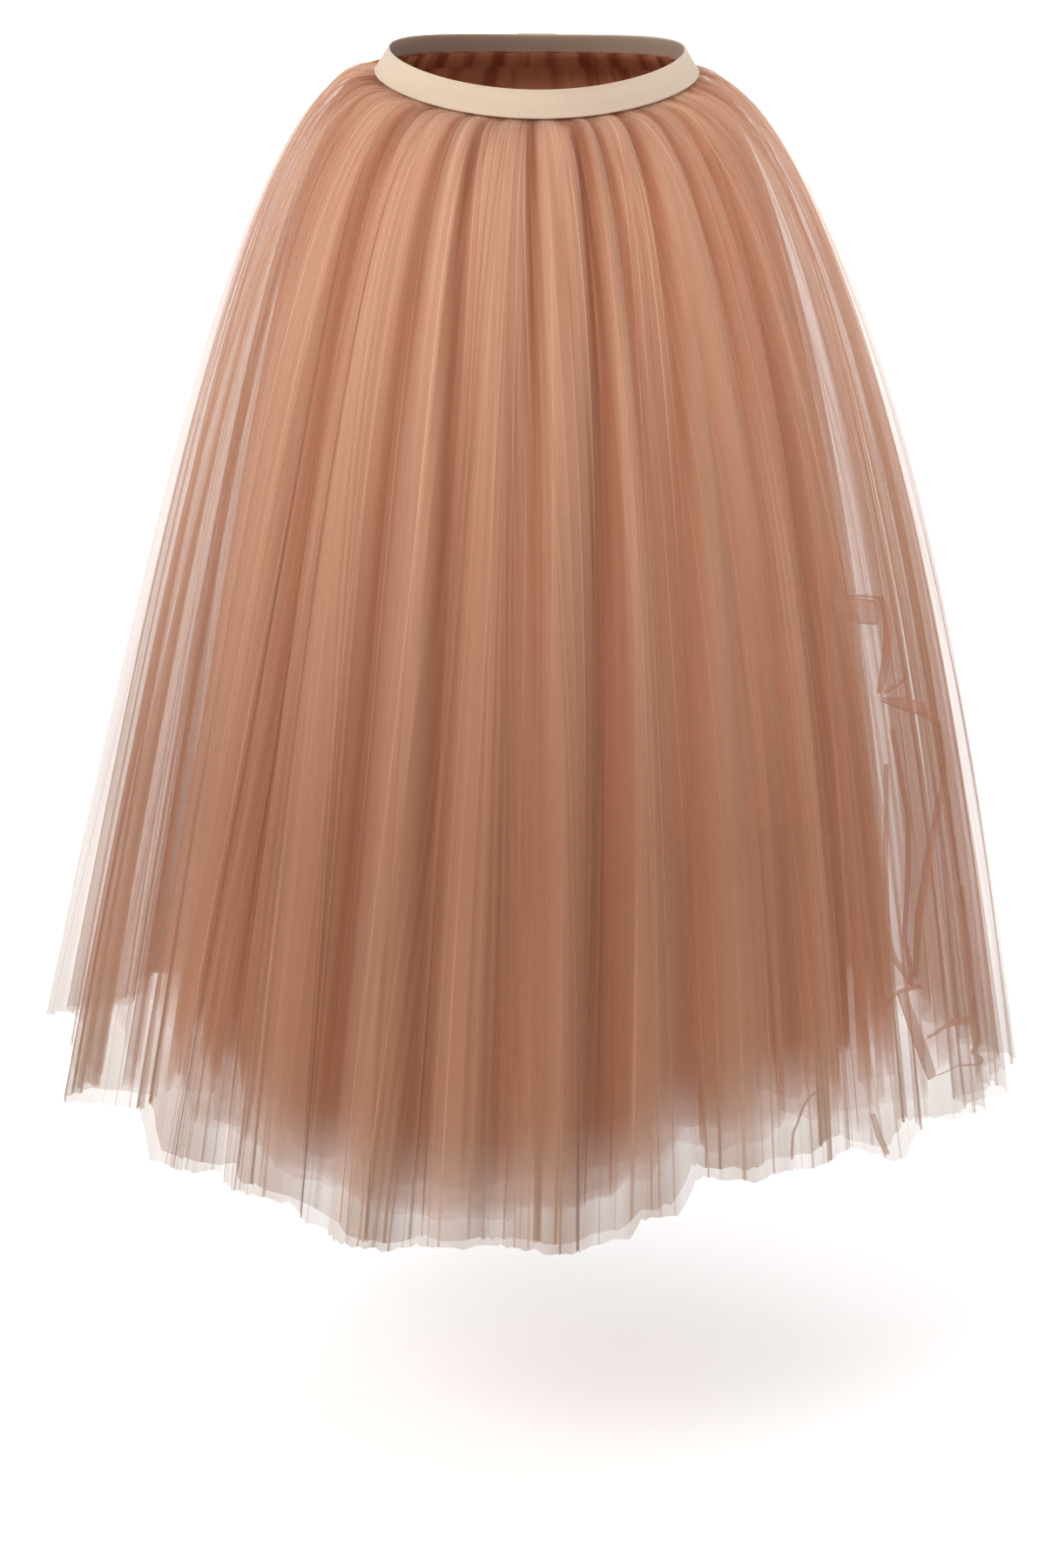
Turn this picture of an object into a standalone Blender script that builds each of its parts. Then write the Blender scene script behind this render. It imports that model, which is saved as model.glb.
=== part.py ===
"""Tulle skirt: a ribbon waistband and three gathered layers of tulle, as worn, in metres, +Z up.

The origin is the centre of the waist, level with the seam at the wearer's sides. The front faces -Y.
Angles run round the skirt from the front (0) through +X (90), so +X is on the right seen from the front.
"""

import math

import bpy
import numpy as np

# Waist seam, where the tulle leaves the ribbon's lower edge
SEAM_HALF_WIDTH = 0.144
SEAM_HALF_DEPTH = 0.112
SEAM_TILT = 0.039               # the seam falls this far at the front and rises as far at the back
SEAM_DIP = 0.012                # and both front and back dip this much below that tilt

# Ribbon waistband
RIBBON_WIDTH = 0.025
RIBBON_THICKNESS = 0.0013
TOP_HALF_WIDTH = 0.131
TOP_HALF_DEPTH = 0.100
TOP_FORWARD_SHIFT = 0.008       # the body leans back over the seat, so the upper edge sits forward
RIBBON_COLUMNS = 96
LAP_LENGTH = 0.030              # the ribbon's ends lap at the centre back
LAP_THICKNESS = 0.0009

# Cloth walls
TULLE_THICKNESS = 0.0012
SEWN_GAP = 0.0003               # between pieces that are sewn or lie together
TUCK = 0.006                    # the gathered edge runs this far up behind the ribbon
UNDER_RIBBON = 0.0006           # and turns outwards this far below the ribbon's lower edge
SEAM_BEND = 0.0028              # where the surface outside starts, under the seam

# Rows down a layer: the share of the spread from the waist to the hem; the fall goes with its square
ROW_SPREAD = (0.05, 0.13, 0.25, 0.41, 0.60, 0.80, 1.0)
PUFF = 0.20                     # stiff gathers rise before they fall: none at the front, most at the back
PUFF_FADE = 6                   # and fade with this power of what is left of the spread
SHOULDER = 0.15                 # the right side rises less, and sinks a little instead
SIDEWAYS = 0.007                # half way down, the skirt hangs this far to the right
FOLD_SWING = 1.5                # folds stand out and sink in by this share of their table height
FOLD_SINK = 0.008               # valleys lie this far under the smooth surface at the hem
HOLLOW = (-78, 12, 0.009)       # the left side hangs in here: angle, half width in degrees, table depth

# One row for each layer of tulle, outermost first
#  name, pleats, inset at waist, hem radius side / front / back, shorter, fold share,
#  pleat depth at waist / hem, share of the puff
LAYERS = (
    ("tulle_outer", 120, 0.0000, 0.440, 0.430, 0.430, 0.000, 1.00, 0.0007, 0.0048, 1.00),
    ("tulle_middle", 48, 0.0029, 0.395, 0.395, 0.385, 0.035, 0.70, 0.0007, 0.0040, 0.65),
    ("tulle_inner", 32, 0.0059, 0.335, 0.365, 0.340, 0.060, 0.50, 0.0007, 0.0040, 0.35),
)

# Hem height of the outer layer round the skirt: angle, height
HEM_HEIGHTS = (
    (-180, -0.866), (-140, -0.870), (-118, -0.876), (-106, -0.882), (-98, -0.886), (-91, -0.890),
    (-84, -0.905), (-78, -0.909), (-64, -0.892), (-56, -0.882), (-48.5, -0.874), (-45.5, -0.911),
    (-38.5, -0.915), (-32, -0.923), (-27, -0.928), (-24, -0.942), (-20, -0.947), (-14.5, -0.951),
    (-7, -0.948), (3.5, -0.950), (10, -0.944), (12, -0.924), (15.5, -0.924), (19, -0.897),
    (24, -0.901), (32, -0.897), (35, -0.887), (39, -0.888), (44, -0.905), (47, -0.884),
    (55.5, -0.889), (63, -0.891), (80, -0.898), (95, -0.898), (118, -0.884), (140, -0.872), (180, -0.866),
)

# Large standing folds: ridge angle, half width in degrees, how far it stands out at the hem
FOLDS = (
    (-172, 7.0, 0.016), (-158, 7.0, 0.014), (-145, 7.0, 0.018), (-131, 7.0, 0.015),
    (-118, 7.0, 0.014), (-98, 8.0, 0.025), (-76, 6.0, 0.006), (-62, 8.0, 0.018),
    (-45, 8.5, 0.016), (-31, 7.5, 0.020), (-18, 5.5, 0.016), (-8, 5.0, 0.012),
    (3, 5.5, 0.013), (13.5, 5.0, 0.016), (24, 5.0, 0.014), (33.5, 5.5, 0.013),
    (46, 6.5, 0.016), (59, 6.5, 0.016), (72, 6.5, 0.014), (86, 7.0, 0.015),
    (100, 7.0, 0.015), (114, 7.0, 0.014), (127, 6.5, 0.016), (141, 7.0, 0.017),
    (154, 6.5, 0.013), (167, 6.5, 0.016), (180, 6.0, 0.014),
)

RIBBON_COLOUR = (0.80, 0.66, 0.53)
TULLE_COLOUR = (0.60, 0.34, 0.23)


def seam_height(angle):
    """Height of the waist seam at an angle round the skirt."""
    return -SEAM_TILT * math.cos(angle) - SEAM_DIP * math.cos(angle) ** 2


def seam_point(angle, inset):
    """Point of the waist seam, moved in from the ribbon's middle line."""
    return np.array((
        (SEAM_HALF_WIDTH - inset) * math.sin(angle),
        -(SEAM_HALF_DEPTH - inset) * math.cos(angle),
        seam_height(angle),
    ))


def hem_height(angle):
    """Height of the outer layer's hem at an angle, smooth between the table's rows."""
    degrees = (math.degrees(angle) + 180) % 360 - 180
    for (low, low_height), (high, high_height) in zip(HEM_HEIGHTS, HEM_HEIGHTS[1:]):
        if low <= degrees <= high:
            share = (degrees - low) / (high - low)
            share = share * share * (3 - 2 * share)
            return low_height + (high_height - low_height) * share
    return HEM_HEIGHTS[-1][1]


def bump(angle, centre, half_width):
    """Rounded bump from 0 to 1, round its centre."""
    away = abs((math.degrees(angle) - centre + 180) % 360 - 180)
    return math.cos(math.pi / 2 * min(away / half_width, 1)) ** 2


def fold_height(angle):
    """How far the large folds stand out at the hem, from their valleys."""
    total = max(height * bump(angle, ridge, half_width) for ridge, half_width, height in FOLDS)
    centre, half_width, depth = HOLLOW
    return total - depth * bump(angle, centre, half_width)


def clear_scene():
    """Empty the scene without closing the file."""
    for thing in list(bpy.data.objects):
        bpy.data.objects.remove(thing, do_unlink=True)


def cloth_material(name, colour, roughness):
    """A plain matt cloth of one colour."""
    material = bpy.data.materials.new(name)
    material.use_nodes = True
    shader = material.node_tree.nodes["Principled BSDF"]
    shader.inputs["Base Color"].default_value = (*colour, 1.0)
    shader.inputs["Roughness"].default_value = roughness
    shader.inputs["Metallic"].default_value = 0.0
    return material


def wall_object(name, outer, inner, closed, material):
    """A closed wall between two grids of points, [column][row], with its edges filled."""
    columns = len(outer)
    rows = len(outer[0])
    points = [tuple(point) for column in outer for point in column]
    points += [tuple(point) for column in inner for point in column]
    inside = columns * rows
    faces = []

    def quad(a, b, c, d):
        """Two triangles with the diagonal from a to c."""
        faces.append((a, b, c))
        faces.append((a, c, d))

    steps = columns if closed else columns - 1
    for column in range(steps):
        here = column * rows
        there = (column + 1) % columns * rows
        for row in range(rows - 1):
            quad(here + row, here + row + 1, there + row + 1, there + row)
            # the same diagonal on the inside, with the faces turned round
            faces.append((inside + here + row, inside + there + row + 1, inside + here + row + 1))
            faces.append((inside + here + row, inside + there + row, inside + there + row + 1))
        last = rows - 1
        quad(here, there, inside + there, inside + here)
        quad(here + last, inside + here + last, inside + there + last, there + last)
    if not closed:
        end = (columns - 1) * rows
        for row in range(rows - 1):
            quad(row, inside + row, inside + row + 1, row + 1)
            quad(end + row, end + row + 1, inside + end + row + 1, inside + end + row)

    mesh = bpy.data.meshes.new(name)
    mesh.from_pydata(points, [], faces)
    mesh.materials.append(material)
    mesh.shade_smooth()
    mesh.set_sharp_from_angle(angle=math.radians(50))
    mesh.validate()
    thing = bpy.data.objects.new(name, mesh)
    bpy.context.scene.collection.objects.link(thing)
    return thing


def ribbon_points(angle):
    """Lower and upper point of the ribbon's middle surface."""
    lower = seam_point(angle, 0.0)
    upper = np.array((
        TOP_HALF_WIDTH * math.sin(angle),
        -TOP_HALF_DEPTH * math.cos(angle) - TOP_FORWARD_SHIFT,
        0.0,
    ))
    lean = math.hypot(upper[0] - lower[0], upper[1] - lower[1])
    upper[2] = lower[2] + math.sqrt(RIBBON_WIDTH ** 2 - lean ** 2)
    return lower, upper


def ribbon_normal(angle):
    """Outward normal of the ribbon's middle surface."""
    step = 0.01
    lower, upper = ribbon_points(angle)
    along = np.subtract(*(ribbon_points(angle + side)[0] for side in (step, -step)))
    normal = np.cross(along, upper - lower)
    return normal / np.linalg.norm(normal)


def make_waistband(material):
    """The ribbon, a thin ring round the waist whose ends lap at the centre back."""
    outer = []
    inner = []
    lap_half_angle = LAP_LENGTH / 2 / SEAM_HALF_DEPTH
    for column in range(RIBBON_COLUMNS):
        angle = 2 * math.pi * column / RIBBON_COLUMNS
        lower, upper = ribbon_points(angle)
        normal = ribbon_normal(angle)
        lap = LAP_THICKNESS if abs(angle - math.pi) < lap_half_angle else 0.0
        outer.append([point + normal * (RIBBON_THICKNESS / 2 + lap) for point in (upper, lower)])
        inner.append([point - normal * RIBBON_THICKNESS / 2 for point in (upper, lower)])
    return wall_object("waistband", outer, inner, True, material)


def layer_hem(layer, angle):
    """Hem point of a layer in the valleys between its folds."""
    side, front, back, shorter = layer[3:7]
    facing = math.cos(angle)
    depth = front if facing > 0 else back
    radius = side + (depth - side) * facing ** 2
    return np.array((
        radius * math.sin(angle),
        -radius * facing,
        hem_height(angle) + shorter,
    ))


def middle_surface(layer, angle, spread):
    """Point of a layer's surface before folds and pleats: it stands out, then falls, in a parabola."""
    seam = seam_point(angle, layer[2])
    seam[2] -= SEAM_BEND + layer[2]
    hem = layer_hem(layer, angle)
    point = seam + (hem - seam) * spread
    rise = layer[-1] * PUFF * math.sin(angle / 2) ** 2 - SHOULDER * max(math.sin(angle), 0) ** 2
    rise *= spread * (1 - spread) ** PUFF_FADE
    point[2] = seam[2] + (hem[2] - seam[2]) * spread ** 2 + rise
    point[0] += SIDEWAYS * math.sin(math.pi * spread ** 2)
    return point


def surface_normal(layer, angle, spread):
    """Outward normal of the smooth surface."""
    step = 0.01
    round_it = middle_surface(layer, angle + step, spread) - middle_surface(layer, angle - step, spread)
    down = middle_surface(layer, angle, spread + step) - middle_surface(layer, angle, spread - step)
    normal = np.cross(down, round_it)
    return normal / np.linalg.norm(normal)


def layer_column(layer, column):
    """Outer and inner points of one column of a layer, from the tucked edge to the hem."""
    _, pleats, inset, _, _, _, _, fold_share, waist_pleat, hem_pleat, _ = layer
    angle = math.pi * column / pleats - math.pi / 2
    side = 1 if column % 2 else -1
    half = TULLE_THICKNESS / 2

    # behind the ribbon the gathered edge stands up along it, then turns outwards under it
    lower, upper = ribbon_points(angle)
    normal = ribbon_normal(angle)
    turned = lower - normal * (inset + RIBBON_THICKNESS / 2 + SEWN_GAP + half + waist_pleat)
    turned[2] -= UNDER_RIBBON + inset
    tucked = turned + (upper - lower) * (TUCK + inset) / RIBBON_WIDTH
    wave = normal * side * waist_pleat
    bend = (normal + np.array((0.0, 0.0, 1.0))) * half
    outer = [tucked + wave + normal * half, turned + wave / 2 + bend]
    inner = [tucked + wave - normal * half, turned + wave / 2 - bend]

    for spread in ROW_SPREAD:
        normal = surface_normal(layer, angle, spread)
        pleat = waist_pleat + (hem_pleat - waist_pleat) * spread
        fold = fold_share * (FOLD_SWING * fold_height(angle) - FOLD_SINK) * spread
        push = side * pleat + fold
        point = middle_surface(layer, angle, spread) + normal * push
        outer.append(point + normal * half)
        inner.append(point - normal * half)
    return outer, inner


def make_layer(layer, material):
    """The front and back panels of one layer, which meet at the side seams."""
    name, pleats = layer[:2]
    for panel, first in (("front", 0), ("back", pleats)):
        outer = []
        inner = []
        for column in range(first, first + pleats + 1):
            column_outer, column_inner = layer_column(layer, column)
            outer.append(column_outer)
            inner.append(column_inner)
        toward = -1 if panel == "front" else 1
        for end in (0, -1):
            for point in outer[end] + inner[end]:
                point[1] += toward * SEWN_GAP / 2
        wall_object(f"{name}_{panel}", outer, inner, False, material)


def main():
    clear_scene()
    ribbon = cloth_material("ribbon", RIBBON_COLOUR, 0.75)
    tulle = cloth_material("tulle", TULLE_COLOUR, 0.85)
    make_waistband(ribbon)
    for layer in LAYERS:
        make_layer(layer, tulle)


main()
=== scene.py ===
"""Looks of the tulle skirt: sheer pleated layers, a crumpled underlayer and a grosgrain waistband."""

import math

import bpy
import numpy as np
from mathutils import Matrix, Vector


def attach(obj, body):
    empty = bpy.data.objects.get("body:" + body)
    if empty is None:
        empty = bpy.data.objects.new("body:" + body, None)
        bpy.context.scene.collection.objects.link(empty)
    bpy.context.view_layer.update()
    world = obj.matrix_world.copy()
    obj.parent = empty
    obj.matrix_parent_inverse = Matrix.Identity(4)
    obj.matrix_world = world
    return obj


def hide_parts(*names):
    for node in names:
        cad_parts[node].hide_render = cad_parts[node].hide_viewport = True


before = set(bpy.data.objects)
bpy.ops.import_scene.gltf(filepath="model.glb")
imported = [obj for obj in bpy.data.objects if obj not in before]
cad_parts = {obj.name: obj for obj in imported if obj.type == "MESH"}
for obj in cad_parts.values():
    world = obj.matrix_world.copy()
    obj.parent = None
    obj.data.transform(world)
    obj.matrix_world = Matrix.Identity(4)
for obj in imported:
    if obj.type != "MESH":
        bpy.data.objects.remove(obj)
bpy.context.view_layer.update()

# Sizes follow the solids and are in metres. Angles go round from the front, first to the right of the
# picture. Spread goes from 0 at the waist seam to 1 at the hem.

# Waist seam, an ellipse that is lower at the front
SEAM_HALF_WIDTH = 0.144
SEAM_HALF_DEPTH = 0.112
SEAM_TILT = 0.039
SEAM_DIP = 0.012

# Ribbon, which leans in above the seam
RIBBON_WIDTH = 0.025
TOP_HALF_WIDTH = 0.131
TOP_HALF_DEPTH = 0.100
TOP_FORWARD_SHIFT = 0.008
RIB_COUNT = 620
RIB_DEPTH = 0.00012
LAP_HALF_LENGTH = 0.015
LAP_RISE = 0.0009

# Cloth at the ribbon: how far below the seam it bends out, how far below the ribbon's edge it turns in, how
# far its tucked edge stands up and how far behind the ribbon's middle it lies
SEAM_BEND = 0.0028
UNDER_RIBBON = 0.0006
TUCK = 0.006
BEHIND_RIBBON = 0.0022

# How the cloth puffs out below the waist, most at the back, how soon that fades, what it loses at the right
# of the picture, and how far the skirt sways to that side on the way down
PUFF = 0.20
PUFF_FADE = 6
SHOULDER = 0.15
SIDEWAYS = 0.007

# Large folds: how many times the table's distance they stand out at the hem, and how far inside the smooth
# surface they start. The hollow between them: middle angle, half width in degrees, depth.
FOLD_SWING = 1.5
FOLD_SINK = 0.008
HOLLOW = (-78, 12, 0.009)

# How many medium and small gathers go round, in how many steps the hem goes up and down, and the depth that
# a trough's shading is measured against
MEDIUM_GATHERS = 74
SMALL_GATHERS = 160
HEM_STEPS = 28
SHADED_DEPTH = 0.018

# Hem height of the outer layer round the skirt: angle from the front, height
HEM_HEIGHTS = np.array((
    (-180, -0.866), (-140, -0.870), (-118, -0.876), (-106, -0.882), (-98, -0.886), (-91, -0.890),
    (-84, -0.905), (-78, -0.909), (-64, -0.892), (-56, -0.882), (-48.5, -0.874), (-45.5, -0.911),
    (-38.5, -0.915), (-32, -0.923), (-27, -0.928), (-24, -0.942), (-20, -0.947), (-14.5, -0.951),
    (-7, -0.948), (3.5, -0.950), (10, -0.944), (12, -0.924), (15.5, -0.924), (19, -0.897),
    (24, -0.901), (32, -0.897), (35, -0.887), (39, -0.888), (44, -0.905), (47, -0.884),
    (55.5, -0.889), (63, -0.891), (80, -0.898), (95, -0.898), (118, -0.884), (140, -0.872), (180, -0.866),
))

# Large standing folds: ridge angle, half width in degrees, how far it stands out at the hem
FOLDS = (
    (-172, 7.0, 0.016), (-158, 7.0, 0.014), (-145, 7.0, 0.018), (-131, 7.0, 0.015),
    (-118, 7.0, 0.014), (-98, 8.0, 0.025), (-76, 6.0, 0.006), (-62, 8.0, 0.018),
    (-45, 8.5, 0.016), (-31, 7.5, 0.020), (-18, 5.5, 0.016), (-8, 5.0, 0.012),
    (3, 5.5, 0.013), (13.5, 5.0, 0.016), (24, 5.0, 0.014), (33.5, 5.5, 0.013),
    (46, 6.5, 0.016), (59, 6.5, 0.016), (72, 6.5, 0.014), (86, 7.0, 0.015),
    (100, 7.0, 0.015), (114, 7.0, 0.014), (127, 6.5, 0.016), (141, 7.0, 0.017),
    (154, 6.5, 0.013), (167, 6.5, 0.016), (180, 6.0, 0.014),
)

# Narrow troughs between the folds: angle near the waist, angle at the hem, half width in degrees,
# depth a third of the way out, depth at the hem
TROUGHS = (
    (-62, -54, 3.2, 0.010, 0.012), (-43, -37, 3.0, 0.014, 0.011), (-24, -24, 2.8, 0.008, 0.015),
    (-17, -13.5, 2.4, 0.014, 0.009), (-1.5, 0.5, 2.2, 0.010, 0.007), (12.5, 8.5, 3.0, 0.021, 0.008),
    (17, 14.5, 1.8, 0.011, 0.003), (28, 18, 2.8, 0.018, 0.008), (38, 31, 2.4, 0.010, 0.008),
    (46, 40, 3.4, 0.012, 0.010), (59, 52, 3.0, 0.007, 0.009), (73, 66, 3.2, 0.009, 0.009),
    (94, 93, 3.0, 0.008, 0.010), (108, 107, 2.8, 0.007, 0.009), (121, 120, 3.0, 0.010, 0.010),
    (133, 134, 2.6, 0.006, 0.010), (148, 147, 3.0, 0.010, 0.009), (162, 160, 2.4, 0.006, 0.008),
    (174, 173, 2.8, 0.009, 0.011), (-165, -165, 3.0, 0.010, 0.009), (-151, -152, 2.6, 0.006, 0.010),
    (-139, -138, 3.0, 0.010, 0.011), (-125, -124, 2.6, 0.007, 0.009), (-111, -110, 3.0, 0.009, 0.012),
    (-96, -95, 2.8, 0.008, 0.010), (-80, -81, 2.8, 0.007, 0.009),
)

# The layers' shells, outermost first. node: the solids that it is drawn for. rows: points down the cloth.
# inset: how far inside the seam line it starts. radius: hem radius at the side, front and back. lean: how
# far the hem moves to the right. shorter: how much higher the hem lies. drop: how much of that it loses at
# the sides. fold: share of the large folds and troughs. gather and flute: depth of the medium folds at the
# waist and what they gain at the hem. pleat: depth of the fine pleats at waist and hem. ragged: how far the
# hem steps up and down from fold to fold. puff: share of the puff below the waist.
SHELLS = (
    dict(name="pleated_outer", node="tulle_outer", pleats=380, rows=100, inset=0.0000,
         radius=(0.440, 0.430, 0.430), shorter=0.000, fold=1.00, gather=0.0075, flute=0.004,
         pleat=(0.0003, 0.0011), ragged=0.003, puff=1.0, seed=11),
    dict(name="pleated_second", node="tulle_outer", pleats=330, rows=90, inset=0.0008,
         radius=(0.424, 0.417, 0.414), shorter=0.004, fold=0.95, gather=0.0075, flute=0.004,
         pleat=(0.0003, 0.0011), ragged=0.006, puff=0.9, seed=12),
    dict(name="tulle_smooth", node="tulle_middle", pleats=240, rows=80, inset=0.0029,
         radius=(0.388, 0.398, 0.380), shorter=0.028, drop=0.026, fold=0.80, gather=0.0070, flute=0.002,
         pleat=(0.0002, 0.0005), ragged=0.010, puff=0.65, seed=13),
    dict(name="tulle_dense", node="tulle_middle", pleats=220, rows=80, inset=0.0036,
         radius=(0.335, 0.378, 0.345), lean=-0.005, shorter=0.010, drop=0.012, fold=0.75, gather=0.0070,
         flute=0.002, pleat=(0.0002, 0.0008), ragged=0.014, puff=0.6, seed=14),
    dict(name="tulle_inmost", node="tulle_inner", pleats=200, rows=70, inset=0.0059,
         radius=(0.298, 0.358, 0.325), lean=-0.007, shorter=0.026, drop=0.012, fold=0.60, gather=0.0050,
         flute=0.001, pleat=(0.0002, 0.0010), ragged=0.012, puff=0.35, seed=15),
)

# Folds of the crumpled smooth layer: rows of angle, spread and width in millimetres, along each fold
CRUMPLES = (
    ((47, 0.705, 20.8), (52.5, 0.708, 21.6), (58.5, 0.713, 20.5)),
    ((47.2, 0.698, 1.3), (53.5, 0.698, 1.7), (60.5, 0.703, 2.1)),
    ((60.5, 0.703, 4.1), (61.2, 0.72, 10.3), (60, 0.735, 11.7), (56.8, 0.755, 6.8),
     (55.2, 0.765, 4.1)),
    ((55.8, 0.765, 4.8), (60.2, 0.763, 3.4), (65, 0.758, 1.4)),
    ((55.2, 0.768, 3.4), (62, 0.775, 11), (73.8, 0.788, 10.6), (84.8, 0.803, 2.9)),
    ((83.5, 0.8, 5.1), (82.2, 0.823, 5.8), (71, 0.84, 9.9), (62.5, 0.87, 9.7), (57.8, 0.9, 8.9),
     (55.2, 0.93, 4.1)),
    ((57, 0.788, 1.7), (58.2, 0.843, 2.1), (55.8, 0.878, 1.7), (53.5, 0.908, 1.7), (54.5, 0.93, 2.7)),
    ((54.2, 0.808, 1.4), (51.2, 0.863, 2.7), (49.8, 0.903, 4), (50.8, 0.918, 4.1),
     (54.5, 0.933, 4.1)),
    ((56, 0.935, 3.4), (51.8, 0.935, 2.7), (49, 0.938, 2), (48, 0.943, 1.3)),
    ((51.5, 0.935, 8.8), (53.5, 0.953, 12.2), (55.8, 0.973, 13), (57, 0.983, 10.3)),
    ((56.2, 0.963, 3.4), (63, 0.96, 7), (91.5, 0.975, 6), (82.2, 0.96, 2.2)),
    ((82.5, 0.898, 2.2), (83, 0.93, 4.4), (82.2, 0.953, 4.4), (83.2, 0.97, 8.1), (83.5, 0.983, 5.2)),
    ((58, 0.983, 1.4), (64.2, 0.983, 1.7), (93.8, 1.003, 1.9), (82.5, 0.98, 1.8)),
    ((31.5, 1, 4.6), (31.8, 0.988, 3.9), (33.5, 0.978, 3.3), (35.8, 0.975, 2.6), (37.8, 0.975, 1.3)),
    ((44.5, 0.983, 3.3), (45.2, 0.998, 4.7), (46.2, 1.013, 3.4)),
)

# Where pleats and shading are calmer, so that the crumples show: middle angle, half width in degrees, and
# the spread where the calm begins and where it is full
CALM = (68, 30, 0.45, 0.62)

# Smooth surface that the crumples lie on
CRUMPLE_SHELL = dict(radius=(0.420, 0.402, 0.400), inset=0.002, shorter=0.0, puff=1.0)

# Colours of the net at the top and the bottom: the darker bottom colours are painted shade, for the light
# falling off lower down
PALE = (0.70, 0.43, 0.295)
SHADED_BROWN = (0.375, 0.190, 0.112)
WARM = (0.57, 0.245, 0.135)
SHADED_DEEP = (0.50, 0.185, 0.095)
SMOOTH_TOP = (0.63, 0.34, 0.215)
SHADED_SMOOTH_BOTTOM = (0.48, 0.255, 0.165)
HEM_COLOUR = (0.34, 0.235, 0.175)
CRUMPLE_COLOUR = (0.36, 0.135, 0.085)

# Tints that multiply the colours: painted shade in the valleys and just below the ribbon, and streak tone
LIGHT_VALLEY_SHADE = (0.84, 0.69, 0.60)
DARK_VALLEY_SHADE = (0.74, 0.54, 0.45)
STREAK_TINT = (0.88, 0.80, 0.75)
SEAM_SHADE_TINT = (0.68, 0.54, 0.47)

# Looks of each shell. valley, ridge: opacity there. crease: what creases add to it. wobble: how much it
# changes from streak to streak. fade: height over which the hem fades out, 0 for none.
LOOKS = {
    "pleated_outer": dict(top=PALE, bottom=SHADED_BROWN, valley_shade_tint=LIGHT_VALLEY_SHADE, valley=0.23, ridge=0.42,
                          crease=0.52, wobble=0.26, fade=0),
    "pleated_second": dict(top=PALE, bottom=SHADED_BROWN, valley_shade_tint=LIGHT_VALLEY_SHADE, valley=0.23, ridge=0.40,
                           crease=0.52, wobble=0.26, fade=0),
    "tulle_smooth": dict(top=SMOOTH_TOP, bottom=SHADED_SMOOTH_BOTTOM, valley_shade_tint=DARK_VALLEY_SHADE, valley=0.36,
                         ridge=0.40, crease=0.05, wobble=0.20, fade=0.01),
    "tulle_dense": dict(top=WARM, bottom=SHADED_DEEP, valley_shade_tint=DARK_VALLEY_SHADE, valley=0.94, ridge=0.94,
                        crease=0.0, wobble=0.20, fade=0.07),
    "tulle_inmost": dict(top=WARM, bottom=SHADED_DEEP, valley_shade_tint=DARK_VALLEY_SHADE, valley=0.999, ridge=0.999,
                         crease=0.0, wobble=0.0, fade=0.05),
}

# How fast painted shade darkens and browns the net per metre down, how high above the hem its colour starts
# to change, the opacity that the flanks tend to, and the share of the dense shells' rows, from the top,
# that are opaque
PAINTED_SHADE_PER_METRE = 1.5
HEM_BAND = 0.125
FLANK_OPACITY = 0.29
OPAQUE_SHARE = 0.82

# Camera of the photograph
CAMERA_PLACE = (-0.0089, -2.52, -0.2495)
CAMERA_PITCH = math.radians(8.87)
CAMERA_ROLL = math.radians(0.35)
CAMERA_LENS = 63.2
FLOOR_HEIGHT = -1.22


def ramp(value, low, high):
    """Smooth step from 0 at low to 1 at high."""
    share = np.clip((value - low) / (high - low), 0, 1)
    return share * share * (3 - 2 * share)


def seam_height(angle):
    return -SEAM_TILT * np.cos(angle) - SEAM_DIP * np.cos(angle) ** 2


def seam_point(angle, inset):
    """Points of the waist seam, moved in from the ribbon's middle line."""
    return np.stack((
        (SEAM_HALF_WIDTH - inset) * np.sin(angle),
        -(SEAM_HALF_DEPTH - inset) * np.cos(angle),
        seam_height(angle),
    ), -1)


def ribbon_ends(angle):
    """Lower and upper points of the ribbon's middle surface."""
    lower = seam_point(angle, 0.0)
    upper = np.stack((
        TOP_HALF_WIDTH * np.sin(angle),
        -TOP_HALF_DEPTH * np.cos(angle) - TOP_FORWARD_SHIFT,
        0.0 * angle,
    ), -1)
    lean = np.hypot(upper[..., 0] - lower[..., 0], upper[..., 1] - lower[..., 1])
    upper[..., 2] = lower[..., 2] + np.sqrt(RIBBON_WIDTH ** 2 - lean ** 2)
    return lower, upper


def ribbon_normal(angle):
    step = 0.01
    lower, upper = ribbon_ends(angle)
    along = ribbon_ends(angle + step)[0] - ribbon_ends(angle - step)[0]
    return unit(np.cross(along, upper - lower))


def unit(vectors):
    return vectors / np.linalg.norm(vectors, axis=-1, keepdims=True)


def hem_height(angle):
    """Smooth hem height between the table's rows."""
    degrees = (np.degrees(angle) + 180) % 360 - 180
    index = np.clip(np.searchsorted(HEM_HEIGHTS[:, 0], degrees) - 1, 0, len(HEM_HEIGHTS) - 2)
    low = HEM_HEIGHTS[index]
    high = HEM_HEIGHTS[index + 1]
    share = ramp(degrees, low[..., 0], high[..., 0])
    return low[..., 1] + (high[..., 1] - low[..., 1]) * share


def lobes(angle, rows):
    """The highest of many round-topped folds. Each row: centre, drift, half width, height."""
    degrees = np.degrees(angle)
    total = np.zeros(np.broadcast(angle, rows[0][3]).shape)
    for centre, drift, half_width, height in rows:
        away = np.abs((degrees - centre - drift + 180) % 360 - 180) / half_width
        total = np.maximum(total, height * np.clip(1 - away * away, 0, 1) ** 0.7)
    return total


def bump(angle, centre, half_width):
    """Rounded bump from 0 to 1, round its centre."""
    away = np.abs((np.degrees(angle) - centre + 180) % 360 - 180)
    return np.cos(np.pi / 2 * np.minimum(away / half_width, 1)) ** 2


def large_folds(angle):
    """How far the large folds stand out at the hem, from their valleys."""
    total = np.zeros(angle.shape)
    for ridge, half_width, height in FOLDS:
        total = np.maximum(total, height * bump(angle, ridge, half_width))
    centre, half_width, depth = HOLLOW
    return total - depth * bump(angle, centre, half_width)


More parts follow.
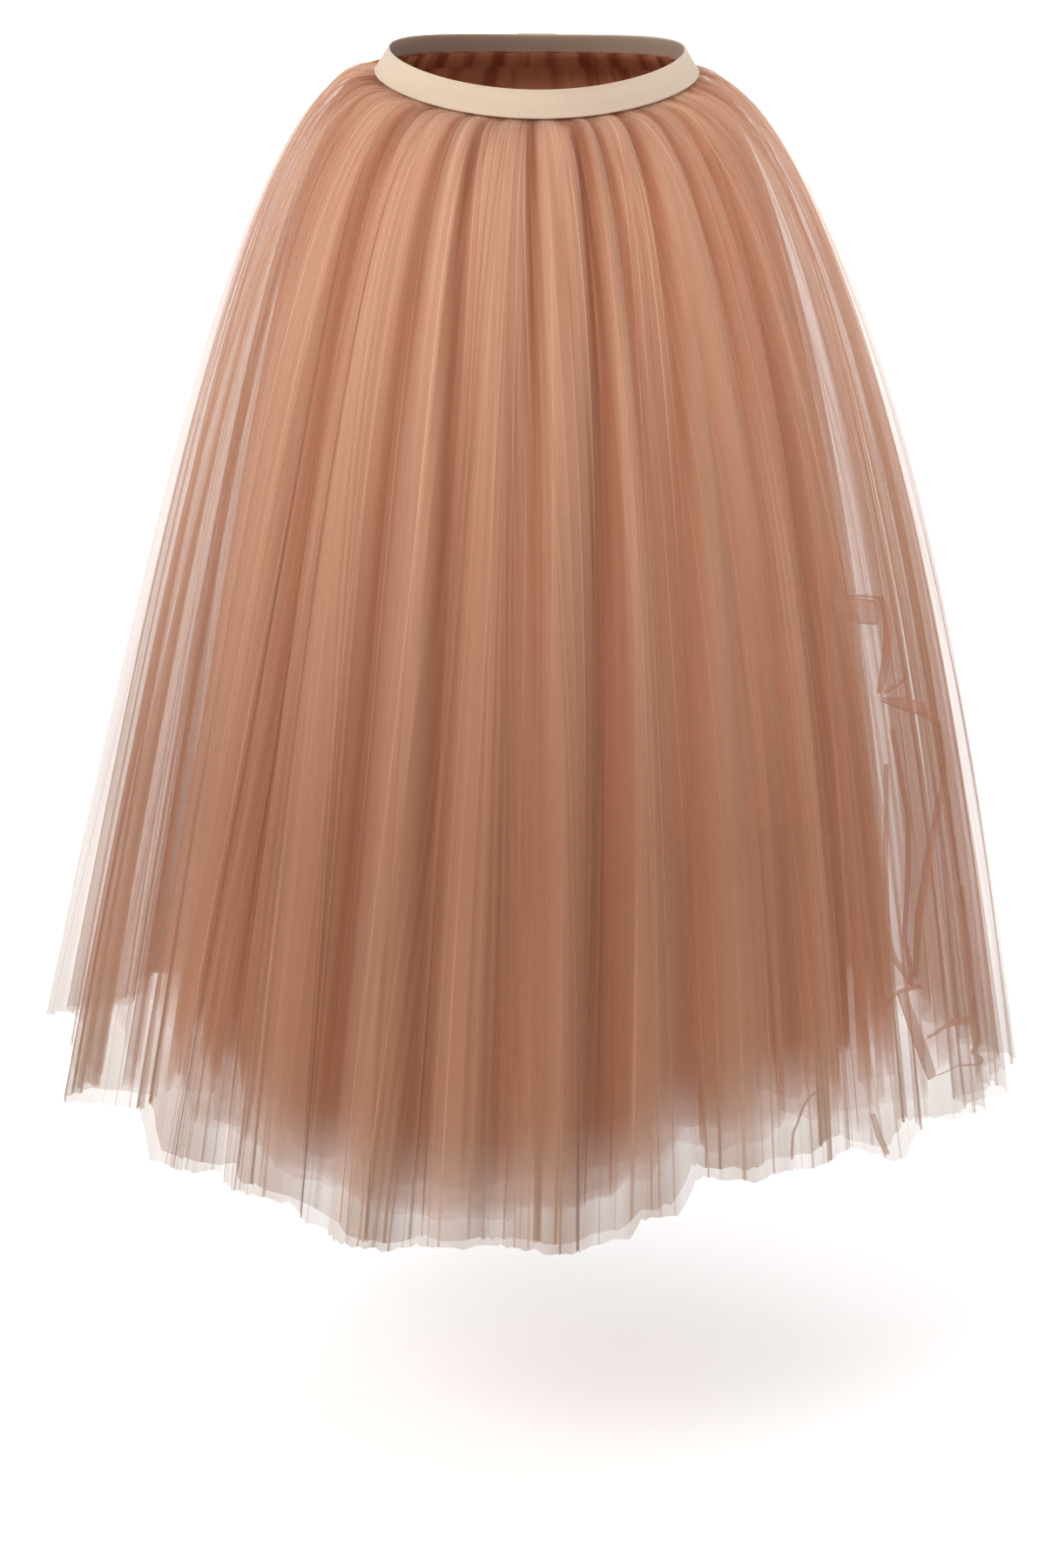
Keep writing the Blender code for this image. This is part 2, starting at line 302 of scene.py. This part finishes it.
def troughs(angle, spread):
    """How far the narrow troughs sink in."""
    degrees = np.degrees(angle)
    total = np.zeros(np.broadcast(angle, spread).shape)
    for top, hem, half_width, upper_depth, hem_depth in TROUGHS:
        centre = top + (hem - top) * spread
        depth = ramp(spread, 0.0, 0.3) * (upper_depth + (hem_depth - upper_depth) * ramp(spread, 0.3, 1.0))
        away = np.abs((degrees - centre + 180) % 360 - 180) / half_width
        total = np.maximum(total, depth * (1 - ramp(away, 0, 1)))
    return total


def gathers(angle, spread, count, seed):
    """Folds that start at the waist seam, drift and merge on the way down, as a share of their depth."""
    rng = np.random.default_rng(seed)
    spacing = 360 / count
    rows = []
    for index in range(count):
        centre = spacing * (index + rng.uniform(-0.35, 0.35))
        drift = spacing * rng.uniform(-2.2, 2.2) * spread ** 0.7
        half_width = spacing * rng.uniform(0.5, 1.4)
        first, second, third, last = rng.uniform((0.3, 0.0, 0.0, 0.0), 1.0)
        height = first + (second - first) * ramp(spread, 0.06, 0.3)
        height = height + (third - second) * ramp(spread, 0.3, 0.6)
        height = height + (last - third) * ramp(spread, 0.6, 0.95)
        rows.append((centre, drift, half_width, height))
    return lobes(angle, rows)


def layer_surface(shell, angle, spread, hem_rise=0.0):
    """The layer's smooth surface before folds: it stands out from the waist and falls in a parabola."""
    seam = seam_point(angle, shell["inset"])
    seam[..., 2] -= SEAM_BEND + shell["inset"]
    side, front, back = shell["radius"]
    facing = np.cos(angle)
    depth = np.where(facing > 0, front, back)
    radius = side + (depth - side) * facing ** 2
    hem_z = hem_height(angle) + shell["shorter"] - shell.get("drop", 0.0) * np.sin(angle) ** 4 + hem_rise
    rise = shell["puff"] * PUFF * np.sin(angle / 2) ** 2 - SHOULDER * np.maximum(np.sin(angle), 0) ** 2
    rise = rise * spread * (1 - spread) ** PUFF_FADE
    x = seam[..., 0] + (radius * np.sin(angle) - seam[..., 0]) * spread
    x = x + SIDEWAYS * np.sin(np.pi * spread ** 2) + shell.get("lean", 0.0) * spread
    y = seam[..., 1] + (-radius * facing - seam[..., 1]) * spread
    z = seam[..., 2] + (hem_z - seam[..., 2]) * spread ** 2 + rise
    return np.stack((x, y, z), -1)


def surface_and_normal(shell, angle, spread, hem_rise=0.0):
    """Points of the layer's smooth surface and the directions straight out of it."""
    step = 0.004
    base = layer_surface(shell, angle, spread, hem_rise)
    round_it = layer_surface(shell, angle + step, spread, hem_rise) - base
    down = layer_surface(shell, angle, spread + step, hem_rise) - base
    return base, unit(np.cross(down, round_it))


def steps_round(angle, count, rng):
    """A share from -1 to 1 that changes in quick steps from one fold to the next."""
    level = rng.uniform(-1, 1, count)
    place = (angle / (2 * np.pi) + 0.5) % 1 * count
    index = np.floor(place).astype(int) % count
    share = ramp(place % 1, 0.85, 1.0)
    return level[index] * (1 - share) + level[(index + 1) % count] * share


def cloth_places(shell, spread, rng):
    """Each column's place along the cloth, and its angle at each row: pleats bunch up and spread apart."""
    columns = shell["pleats"] * 2
    widths = rng.uniform(0.5, 1.5, columns)
    mark = np.concatenate(((0.0,), np.cumsum(widths)))[:-1] / widths.sum()
    cloth_angle = (mark * 2 * np.pi - np.pi)[:, None]
    swirl = np.zeros((columns, shell["rows"]))
    for _ in range(16):
        waves = rng.integers(9, 70)
        size = rng.uniform(0.1, 0.4) / waves
        swirl += size * np.sin(waves * cloth_angle + rng.uniform(0, 6.3) + rng.uniform(-4, 4) * spread)
    return mark, cloth_angle, cloth_angle + swirl


def tucked_edge(shell, angle):
    """The cloth's edge behind the ribbon, and where it turns under the ribbon's lower edge."""
    lower, upper = ribbon_ends(angle)
    turned = lower - ribbon_normal(angle) * (shell["inset"] + BEHIND_RIBBON)
    turned[:, 2] -= UNDER_RIBBON + shell["inset"]
    tucked = turned + (upper - lower) * (TUCK + UNDER_RIBBON + 2 * shell["inset"]) / RIBBON_WIDTH
    return tucked, turned


def shell_points(shell):
    """Grid of a layer's points, [column, row], from the tucked edge behind the ribbon to the hem."""
    rng = np.random.default_rng(shell["seed"])
    columns = shell["pleats"] * 2
    spread = (0.012 + 0.988 * np.linspace(0, 1, shell["rows"]) ** 0.9)[None, :]
    mark, cloth_angle, angle = cloth_places(shell, spread, rng)
    hem_rise = shell["ragged"] * steps_round(cloth_angle, HEM_STEPS, rng) + 0 * angle
    full = spread + 0 * angle
    base, normal = surface_and_normal(shell, angle, full, hem_rise)

    flank = np.sin(angle) ** 4 * ramp(spread, 0.05, 0.3)
    side = np.where(np.arange(columns) % 2, 1.0, -1.0)[:, None]
    pleat_size = rng.uniform(0.2, 1.0, columns)[:, None] ** 2 * 2.2
    waist_pleat, hem_pleat = shell["pleat"]
    pleat = side * pleat_size * (waist_pleat + (hem_pleat - waist_pleat) * spread) * (1 - 0.5 * flank)
    push = pleat + shell["fold"] * (FOLD_SWING * large_folds(angle) - FOLD_SINK) * spread ** 1.2
    sunk = troughs(angle, full)
    push = push - shell["fold"] * sunk
    depth = shell["gather"] * ramp(spread, -0.02, 0.15) * (1 + 0.3 * spread) + shell["flute"] * spread ** 3
    depth = depth * (1 - 0.6 * flank)
    large = push - pleat
    medium = gathers(angle, spread, MEDIUM_GATHERS, shell["seed"] + 20) - 0.6
    small = gathers(angle, spread, SMALL_GATHERS, shell["seed"] + 40) - 0.6
    push = push + depth * (medium + 0.4 * small)
    points = base + normal * push[..., None]
    points[:, -1, 2] += rng.uniform(-0.002, 0.002, columns)

    tucked, turned = tucked_edge(shell, angle[:, 0])
    points = np.concatenate((tucked[:, None], turned[:, None], points), 1)
    lowness = 0.75 * standard(large) + 0.5 * standard(medium) + 0.25 * standard(small)
    looks = shell_looks(angle, spread, lowness, sunk, flank, rng)
    looks = np.concatenate((looks[:, :1], looks[:, :1], looks), 1)
    return points, mark * shell["pleats"], looks


def shell_looks(angle, spread, lowness, sunk, flank, rng):
    """Each point's valley share, streak tone, crease strength, and share of the flanks and of the right."""
    # valley share: how strongly painted shade darkens each point, most in low folds and troughs; it also
    # sets the opacity there
    valley = ramp(-lowness, -1.0, 1.6)
    valley = valley + (1.25 - valley) * np.clip(sunk / SHADED_DEPTH, 0, 0.85)
    centre, half_width, first, last = CALM
    calm = bump(angle, centre, half_width) * ramp(spread, first, last)
    valley = valley + (0.5 - valley) * calm
    crease = creases(rng, *angle.shape) * (1 - 0.6 * calm)
    rightness = np.sin(angle)
    right = ramp(rightness, 0.35, 0.75) * (1 - 0.8 * ramp(rightness, 0.86, 1.0)) * ramp(spread, 0.05, 0.3)
    return np.stack((valley, streaks(rng, *angle.shape), crease, flank, right), -1)


def standard(values):
    """Values less their mean round each row, in standard deviations."""
    return (values - values.mean(0)) / values.std(0)


def along_rows(values, rows):
    """Values at a few places down each column, spread over all rows."""
    place = np.linspace(0, values.shape[1] - 1, rows)
    index = np.minimum(place.astype(int), values.shape[1] - 2)
    share = place - index
    return values[:, index] * (1 - share) + values[:, index + 1] * share


def streaks(rng, columns, rows):
    """Tone of the streaks down the cloth: fine ones from pleat to pleat and broader ones."""
    fine = along_rows(rng.uniform(0, 1, (columns, 7)), rows)
    broad = rng.uniform(0, 1, (columns, 9))
    for _ in range(3):
        broad = (np.roll(broad, 1, 0) + broad + np.roll(broad, -1, 0)) / 3
    broad = np.clip(0.5 + (along_rows(broad, rows) - 0.5) * 2.2, 0, 1)
    return 0.3 * fine + 0.7 * broad


def creases(rng, columns, rows):
    """How strongly each pleat's crease shows, from 0 to 1."""
    strength = np.repeat(rng.uniform(0, 1, (columns // 2, 4)), 2, 0)
    return np.clip((along_rows(strength, rows) - 0.40) * 3, 0, 1)


def grid_mesh(name, points, across, closed=True, smooth=True, looks=None):
    """Mesh of a [column, row] grid, with a UV map of pleats across and metres down. With looks come three
    more: valley share and metres above the hem, streak tone and crease strength, flank and right share."""
    columns, rows = points.shape[:2]
    steps = columns if closed else columns - 1
    column = np.arange(steps)[:, None]
    row = np.arange(rows - 1)[None, :]
    there = (column + 1) % columns
    corners = ((column, row), (column, row + 1), (there, row + 1), (there, row))
    quads = np.stack([at * rows + below for at, below in corners], -1).reshape(-1, 4)

    mesh = bpy.data.meshes.new(name)
    mesh.from_pydata(points.reshape(-1, 3), [], quads)
    length = np.concatenate((
        np.zeros((columns, 1)),
        np.cumsum(np.linalg.norm(np.diff(points, axis=1), axis=-1), 1),
    ), 1)
    span = across[-1] + (across[1] - across[0]) if closed else across[-1]
    place = np.broadcast_to(across[:, None], (columns, rows))
    u = np.stack([place[at, below] for at, below in corners], -1)
    u[..., 2:] += np.where(column + 1 < columns, 0, span)[..., None]
    v = np.stack([length[at, below] for at, below in corners], -1)
    maps = {"cloth": np.stack((u, v), -1)}
    if looks is not None:
        above = length[:, -1:] - length
        pairs = (("shade", looks[..., 0], above), ("streak", looks[..., 1], looks[..., 2]),
                 ("thin", looks[..., 3], looks[..., 4]))
        for title, first, second in pairs:
            maps[title] = np.stack((first, second), -1).reshape(-1, 2)[quads]
    for title, values in maps.items():
        layer = mesh.uv_layers.new(name=title)
        layer.data.foreach_set("uv", values.astype(np.float32).reshape(-1))
    mesh.polygons.foreach_set("use_smooth", np.full(len(mesh.polygons), smooth))
    mesh.update()
    thing = bpy.data.objects.new(name, mesh)
    bpy.context.scene.collection.objects.link(thing)
    return thing


def new_material(name):
    material = bpy.data.materials.new(name)
    material.use_nodes = True
    tree = material.node_tree
    return material, tree, tree.nodes["Principled BSDF"]


def node(tree, kind, **settings):
    made = tree.nodes.new(kind)
    for key, value in settings.items():
        setattr(made, key, value)
    return made


def math_node(tree, operation, first, second=None, third=None):
    made = node(tree, "ShaderNodeMath", operation=operation)
    for socket, value in zip(made.inputs, (first, second, third)):
        if value is None:
            continue
        if isinstance(value, (int, float)):
            socket.default_value = value
        else:
            tree.links.new(value, socket)
    return made.outputs[0]


def clamped(tree, value):
    made = node(tree, "ShaderNodeClamp")
    tree.links.new(value, made.inputs[0])
    return made.outputs[0]


def uv_values(tree, title):
    """The two values of a UV map."""
    uv = node(tree, "ShaderNodeUVMap", uv_map=title)
    split = node(tree, "ShaderNodeSeparateXYZ")
    tree.links.new(uv.outputs[0], split.inputs[0])
    return split.outputs[0], split.outputs[1]


def noise(tree, across, down, scale_across, scale_down):
    """Noise along the cloth, with a scale across and one down."""
    place = node(tree, "ShaderNodeCombineXYZ")
    tree.links.new(math_node(tree, "MULTIPLY", across, scale_across), place.inputs[0])
    tree.links.new(math_node(tree, "MULTIPLY", down, scale_down), place.inputs[1])
    made = node(tree, "ShaderNodeTexNoise", noise_dimensions="2D")
    made.inputs["Scale"].default_value = 1.0
    made.inputs["Detail"].default_value = 2.0
    tree.links.new(place.outputs[0], made.inputs["Vector"])
    return made.outputs["Fac"]


def mix_colour(tree, share, first, second):
    mix = node(tree, "ShaderNodeMix", data_type="RGBA")
    tree.links.new(share, mix.inputs[0])
    for socket, value in ((mix.inputs[6], first), (mix.inputs[7], second)):
        if isinstance(value, tuple):
            socket.default_value = (*value, 1.0)
        else:
            tree.links.new(value, socket)
    return mix.outputs[2]


def tinted(tree, colour, share, tint):
    """The colour times the tint where share is 1."""
    mix = node(tree, "ShaderNodeMix", data_type="RGBA", blend_type="MULTIPLY")
    mix.inputs[0].default_value = 1.0
    tree.links.new(colour, mix.inputs[6])
    tree.links.new(mix_colour(tree, share, (1.0, 1.0, 1.0), tint), mix.inputs[7])
    return mix.outputs[2]


def tulle_material(name, look):
    """Sheer net: paler above and darker, browner below as painted shade for the light falling off, darker
    and more orange in valleys and just below the ribbon as painted shade, with streaks and creases.
    """
    material, tree, shader = new_material(name)
    across, down = uv_values(tree, "cloth")
    valley, above = uv_values(tree, "shade")
    streak, strength = uv_values(tree, "streak")
    # painted shade: the net darkens and browns lower down, for the light falling off there
    fall = clamped(tree, math_node(tree, "MULTIPLY", down, PAINTED_SHADE_PER_METRE))
    colour = mix_colour(tree, fall, look["top"], look["bottom"])
    # painted shade in the valleys, weaker lower down
    low = math_node(tree, "MULTIPLY", valley, math_node(tree, "MULTIPLY_ADD", fall, -0.45, 1.0))
    near_hem = clamped(tree, math_node(tree, "MULTIPLY_ADD", above, -1 / HEM_BAND, 1.0))
    pleated = name.startswith("pleated")
    if pleated:
        colour = mix_colour(tree, near_hem, colour, HEM_COLOUR)
    colour = tinted(tree, colour, low, look["valley_shade_tint"])
    colour = tinted(tree, colour, streak, STREAK_TINT)
    # painted shade in the valleys just below the ribbon, darkest at the seam and gone 0.12 m down
    seam = clamped(tree, math_node(tree, "MULTIPLY_ADD", down, -9.0, 1.1))
    colour = tinted(tree, colour, math_node(tree, "MULTIPLY", seam, valley), SEAM_SHADE_TINT)
    tree.links.new(colour, shader.inputs["Base Color"])
    if look["ridge"] < 1:
        opacity = math_node(tree, "MULTIPLY_ADD", valley, look["valley"] - look["ridge"], look["ridge"])
        crease = crease_lines(tree, across, strength)
        opacity = math_node(tree, "MULTIPLY_ADD", crease, look["crease"], opacity)
        change = math_node(tree, "MULTIPLY", math_node(tree, "SUBTRACT", streak, 0.5), look["wobble"])
        opacity = math_node(tree, "ADD", opacity, change)
        if pleated:
            opacity = math_node(tree, "MULTIPLY_ADD", near_hem, 0.13, opacity)
        opacity = thinned(tree, name, opacity)
        if look["fade"]:
            reach = clamped(tree, math_node(tree, "MULTIPLY", above, 1 / look["fade"]))
            kept = math_node(tree, "MULTIPLY_ADD", reach, 0.75, 0.25)
            opacity = math_node(tree, "MULTIPLY", opacity, kept)
        tree.links.new(clamped(tree, opacity), shader.inputs["Alpha"])
    shader.inputs["Roughness"].default_value = 0.75
    shader.inputs["Specular IOR Level"].default_value = 0.2
    shader.inputs["Sheen Weight"].default_value = 0.0 if name.startswith("tulle_inmost") else 0.15
    shader.inputs["Sheen Roughness"].default_value = 0.5
    return material


def crease_lines(tree, across, strength):
    """The strength along each pleat's creases, and 0 between them."""
    away = math_node(tree, "MULTIPLY", math_node(tree, "PINGPONG", across, 0.5), 8.0)
    line = math_node(tree, "MAXIMUM", math_node(tree, "SUBTRACT", 1.0, away), 0.0)
    return math_node(tree, "MULTIPLY", line, strength)


def thinned(tree, name, opacity):
    """The opacity, less at the flanks and on the right, where the layers are seen edge-on."""
    if name == "tulle_inmost":
        return opacity
    flank, right = uv_values(tree, "thin")
    if name == "tulle_dense":
        return math_node(tree, "MULTIPLY", opacity, math_node(tree, "MULTIPLY_ADD", flank, -0.45, 1.0))
    # it also changes less from fold to fold there
    away = math_node(tree, "SUBTRACT", FLANK_OPACITY, opacity)
    levelled = math_node(tree, "MULTIPLY", away, math_node(tree, "MULTIPLY", flank, 0.65))
    opacity = math_node(tree, "ADD", opacity, levelled)
    less = math_node(tree, "MULTIPLY_ADD", flank, -0.34 if name == "tulle_smooth" else -0.10, 1.0)
    less = math_node(tree, "MULTIPLY_ADD", right, -0.26, less)
    return math_node(tree, "MULTIPLY", opacity, less)


def ribbon_material():
    """Cream grosgrain: crosswise ribs, close threads and paler woven edges."""
    material, tree, shader = new_material("grosgrain")
    across, down = uv_values(tree, "cloth")
    rib = math_node(tree, "PINGPONG", across, 0.5)
    weave = noise(tree, across, down, 1.0, 1500.0)
    soft = noise(tree, across, down, 0.02, 60.0)
    share = math_node(tree, "MULTIPLY", rib, 0.7)
    share = math_node(tree, "ADD", share, math_node(tree, "MULTIPLY", weave, 0.4))
    share = math_node(tree, "ADD", share, math_node(tree, "MULTIPLY", soft, 0.3))
    colour = mix_colour(tree, clamped(tree, share), (0.48, 0.37, 0.28), (0.66, 0.53, 0.405))
    tree.links.new(colour, shader.inputs["Base Color"])
    raised = node(tree, "ShaderNodeBump")
    raised.inputs["Strength"].default_value = 0.35
    raised.inputs["Distance"].default_value = 0.0004
    tree.links.new(share, raised.inputs["Height"])
    tree.links.new(raised.outputs[0], shader.inputs["Normal"])
    shader.inputs["Roughness"].default_value = 0.7
    shader.inputs["Sheen Weight"].default_value = 0.2
    return material


def make_ribbon():
    """The waistband: a ribbed ring with thicker woven edges, its ends lapped at the centre back."""
    angle = np.linspace(0, 2 * np.pi, RIB_COUNT * 2, endpoint=False)
    lower, upper = ribbon_ends(angle)
    normal = ribbon_normal(angle)
    rib = np.where(np.arange(RIB_COUNT * 2) % 2, RIB_DEPTH, -RIB_DEPTH)
    lap = np.where(np.abs(angle - np.pi) < LAP_HALF_LENGTH / SEAM_HALF_DEPTH, LAP_RISE, 0.0)
    # share up the ribbon, distance out, share of the ribs' height: the outside and then the inside
    profile = (
        (0.0, -0.00055, 0), (0.0, 0.0004, 0.3), (0.02, 0.0008, 0.6), (0.045, 0.0009, 0.6),
        (0.065, 0.00065, 1), (0.25, 0.00065, 1), (0.5, 0.00065, 1), (0.75, 0.00065, 1), (0.935, 0.00065, 1),
        (0.955, 0.0009, 0.6), (0.98, 0.0008, 0.6), (1.0, 0.0004, 0.3), (1.0, -0.00055, 0),
        (0.93, -0.00065, 1), (0.5, -0.00065, 1), (0.07, -0.00065, 1), (0.0, -0.00055, 0),
    )
    rings = []
    for up, out, ribbed in profile:
        away = out + rib * ribbed + (lap if out > 0 else 0)
        rings.append(lower + (upper - lower) * up + normal * np.reshape(away, (-1, 1)))
    points = np.stack(rings[::-1], 1)
    ribbon = grid_mesh("waistband_ribbon", points, np.arange(RIB_COUNT * 2) / 2.0)
    ribbon.data.materials.append(ribbon_material())
    return ribbon


def crumple_points(rows):
    """A narrow folded band along a crumple, five points across."""
    table = np.array(rows)
    place = np.linspace(0, len(table) - 1, 6 * len(table))
    degrees, spread, width = (np.interp(place, np.arange(len(table)), column) for column in table.T)
    angle = np.radians(degrees)
    centre, normal = surface_and_normal(CRUMPLE_SHELL, angle, spread)
    across = unit(np.cross(unit(np.gradient(centre, axis=0)), normal))
    for _ in range(3):
        across[1:-1] = unit(across[:-2] + across[1:-1] + across[2:])
    bands = []
    for side in (-1.0, -0.5, 0.0, 0.5, 1.0):
        # arched, and lower along one edge
        rise = 0.0022 * (1 - side * side) - 0.0015 * side
        bands.append(centre + across * (width * side / 2000)[:, None] + normal * rise)
    return np.stack(bands)


def crumple_material():
    """Doubled net: sheer inside, closer along its folded edges."""
    material, tree, shader = new_material("tulle_crumple")
    across, _ = uv_values(tree, "cloth")
    edge = math_node(tree, "ABSOLUTE", math_node(tree, "SUBTRACT", across, 0.5))
    edge = clamped(tree, math_node(tree, "MULTIPLY_ADD", edge, 10.0, -4.0))
    tree.links.new(math_node(tree, "MULTIPLY_ADD", edge, 0.30, 0.60), shader.inputs["Alpha"])
    shader.inputs["Base Color"].default_value = (*CRUMPLE_COLOUR, 1)
    shader.inputs["Roughness"].default_value = 0.75
    shader.inputs["Specular IOR Level"].default_value = 0.2
    return material


def join(first, others):
    """Add the other meshes to the first."""
    with bpy.context.temp_override(active_object=first, selected_editable_objects=[first, *others]):
        bpy.ops.object.join()


def close_upper_part(piece, name, values):
    """Make a dense shell opaque down to just above its hem, the dense one's flanks apart."""
    piece.data.materials.append(tulle_material(name + "_upper", dict(LOOKS[name], ridge=1.0)))
    rows = values.shape[1] - 1
    upper = np.arange(len(piece.data.polygons)) % rows < rows * OPAQUE_SHARE
    if name == "tulle_dense":
        upper &= values[:, :-1, 3].reshape(-1) < 0.25
    piece.data.polygons.foreach_set("material_index", upper.astype(np.int32))


def add_crumples(piece):
    material = crumple_material()
    bands = []
    for index, crumple in enumerate(CRUMPLES):
        grid = crumple_points(crumple)
        band = grid_mesh(f"crumple_{index}", grid, np.linspace(0, 1, len(grid)), closed=False)
        band.data.materials.append(material)
        bands.append(band)
    join(piece, bands)


def make_shells():
    made = []
    for shell in SHELLS:
        name = shell["name"]
        points, across, values = shell_points(shell)
        piece = grid_mesh(name, points, across, smooth=name.startswith("tulle"), looks=values)
        piece.data.materials.append(tulle_material(name, LOOKS[name]))
        if name in ("tulle_dense", "tulle_inmost"):
            close_upper_part(piece, name, values)
        if name.startswith("pleated"):
            # light scatters forward through the sheer net
            piece.visible_shadow = False
        if name == "tulle_smooth":
            add_crumples(piece)
        made.append(piece)
    return made


def area_light(name, place, aim, size, power, colour=(1, 1, 1)):
    data = bpy.data.lights.new(name, "AREA")
    data.shape = "RECTANGLE"
    data.size, data.size_y = size
    data.energy = power
    data.color = colour
    light = bpy.data.objects.new(name, data)
    light.location = place
    direction = np.subtract(aim, place)
    light.rotation_euler = Vector(direction).to_track_quat("-Z", "Y").to_euler()
    bpy.context.scene.collection.objects.link(light)


def make_camera():
    data = bpy.data.cameras.new("camera")
    data.lens = CAMERA_LENS
    data.sensor_width = 36
    camera = bpy.data.objects.new("camera", data)
    turn = Matrix.Rotation(math.pi / 2 - CAMERA_PITCH, 4, "X") @ Matrix.Rotation(CAMERA_ROLL, 4, "Z")
    camera.matrix_world = Matrix.Translation(CAMERA_PLACE) @ turn
    bpy.context.scene.collection.objects.link(camera)
    bpy.context.scene.camera = camera


def make_stage():
    """A plain pale floor that curves up into a backdrop, and soft light from all round."""
    half = 6.0
    back = 5.0
    bend = 1.5
    profile = [(-4.5, FLOOR_HEIGHT), (back - bend, FLOOR_HEIGHT)]
    for step in range(1, 13):
        turn = math.pi / 2 * step / 12
        profile.append((back - bend + bend * math.sin(turn), FLOOR_HEIGHT + bend * (1 - math.cos(turn))))
    profile.append((back, 6.0))
    points = np.array([[(x, y, z) for y, z in profile] for x in (-half, half)])
    floor = grid_mesh("floor", points[::-1], np.arange(2.0), closed=False)
    material, _, shader = new_material("floor")
    shader.inputs["Base Color"].default_value = (0.92, 0.92, 0.92, 1)
    shader.inputs["Roughness"].default_value = 0.9
    shader.inputs["Specular IOR Level"].default_value = 0.0
    shader.inputs["Emission Color"].default_value = (1, 1, 1, 1)
    shader.inputs["Emission Strength"].default_value = 0.12
    floor.data.materials.append(material)

    world = bpy.data.worlds.new("studio")
    world.use_nodes = True
    world.node_tree.nodes["Background"].inputs[0].default_value = (1, 1, 1, 1)
    world.node_tree.nodes["Background"].inputs[1].default_value = 0.68
    bpy.context.scene.world = world
    area_light("left", (-1.6, -2.6, 1.3), (0, 0, -0.35), (1.4, 1.4), 71, (1, 0.985, 0.96))
    area_light("right", (2.5, -1.4, 0.6), (0, 0, -0.45), (1.6, 1.6), 8)
    area_light("right side", (2.3, 0.7, -0.3), (0.2, 0, -0.6), (1.2, 1.2), 30)
    area_light("left side", (-2.3, 0.7, -0.3), (-0.2, 0, -0.6), (1.2, 1.2), 16)
    area_light("back", (0.0, 2.4, 1.6), (0, 4.6, 0.0), (3.0, 2.0), 75)


scene = bpy.context.scene
scene.view_settings.view_transform = "Standard"
scene.cycles.transparent_max_bounces = 24
scene.cycles.max_bounces = 5
scene.cycles.diffuse_bounces = 3
make_camera()
make_stage()

ribbon = make_ribbon()
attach(ribbon, "root")
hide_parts("waistband")

shells = make_shells()
for shell, piece in zip(SHELLS, shells):
    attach(piece, "root")
    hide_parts(shell["node"] + "_front", shell["node"] + "_back")
